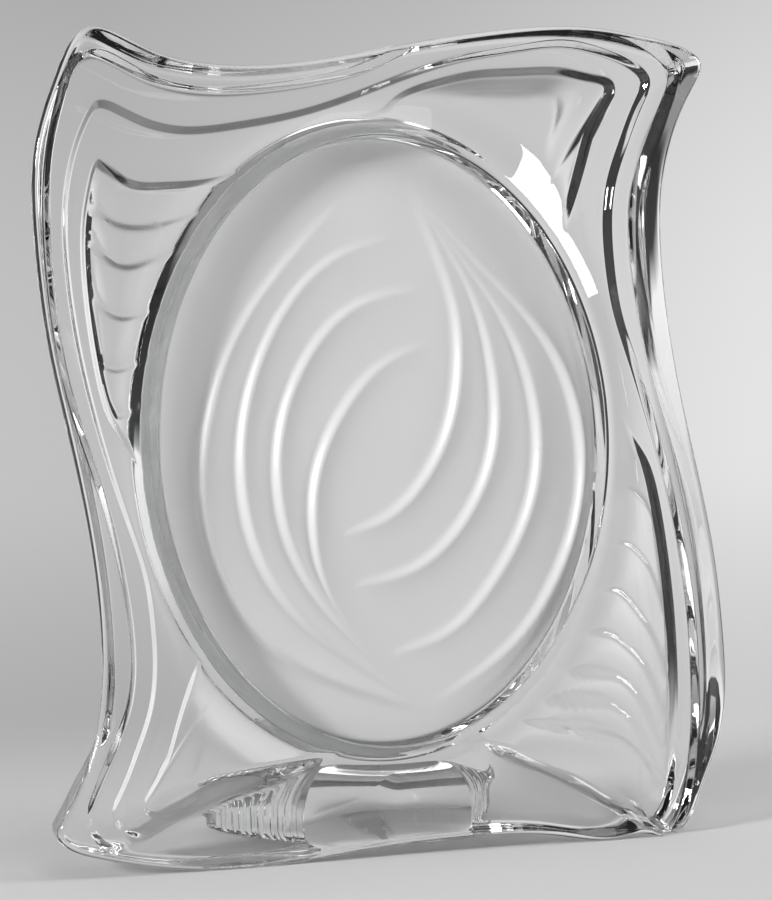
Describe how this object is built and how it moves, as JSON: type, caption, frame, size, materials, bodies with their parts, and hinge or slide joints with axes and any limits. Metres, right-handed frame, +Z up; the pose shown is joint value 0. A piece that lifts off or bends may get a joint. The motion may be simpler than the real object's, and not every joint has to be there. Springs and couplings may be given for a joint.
{
  "type": "picture frame",
  "caption": "Free-standing wavy pressed-glass picture frame with a terraced border, fluted corners and an oval opening that holds a removable satin insert with a swirl relief.",
  "frame": {"origin": "bottom centre of the whole frame, on the table", "axes": "+Z up, the front with the picture looks along -Y, +X to the viewer's right"},
  "size_m": [0.1748, 0.0528, 0.2015],
  "materials": {
    "crystal": "polished, clear",
    "satin": "satin, milky, slightly see-through"
  },
  "bodies": {
    "frame": {"glass_frame": "crystal"},
    "insert": {"frosted_insert": "satin"}
  },
  "joints": [
    {"name": "insert_slide", "type": "slide", "parent": "frame", "child": "insert", "axis": [0, 0.9925, -0.1219], "range_m": [0, 0.03]}
  ]
}
